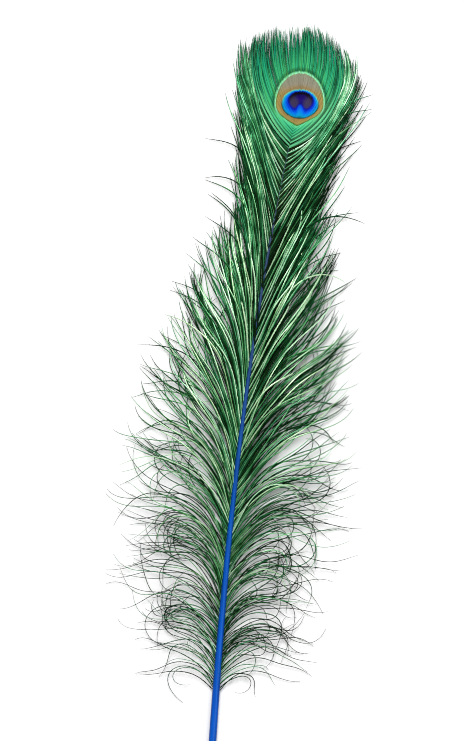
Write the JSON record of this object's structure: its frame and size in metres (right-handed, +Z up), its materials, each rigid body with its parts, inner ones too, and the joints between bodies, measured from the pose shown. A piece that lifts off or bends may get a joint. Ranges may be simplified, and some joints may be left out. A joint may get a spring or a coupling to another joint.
{
  "type": "peacock feather",
  "caption": "Long peacock train feather with a dyed blue quill, loose arching green barbs on both sides and a closed head with a ringed eye, lying face up.",
  "frame": {"origin": "on the surface that the feather lies on, under the middle of its box", "axes": "+Y along the feather from the quill to the eye, +Z up out of the surface, +X to the right of the feather seen face up"},
  "size_m": [0.2068, 0.7948, 0.0154],
  "materials": {
    "dyed_shaft": "satin dyed keratin, royal blue at the quill, darkening to navy brown at the head",
    "green_barbs": "iridescent green barbs with a silky gloss",
    "eye_vane": "iridescent vane with bronze, turquoise and violet rings"
  },
  "bodies": {
    "root": {"shaft": "dyed_shaft", "left_barbs": "green_barbs", "right_barbs": "green_barbs", "eye": "eye_vane"}
  },
  "joints": []
}
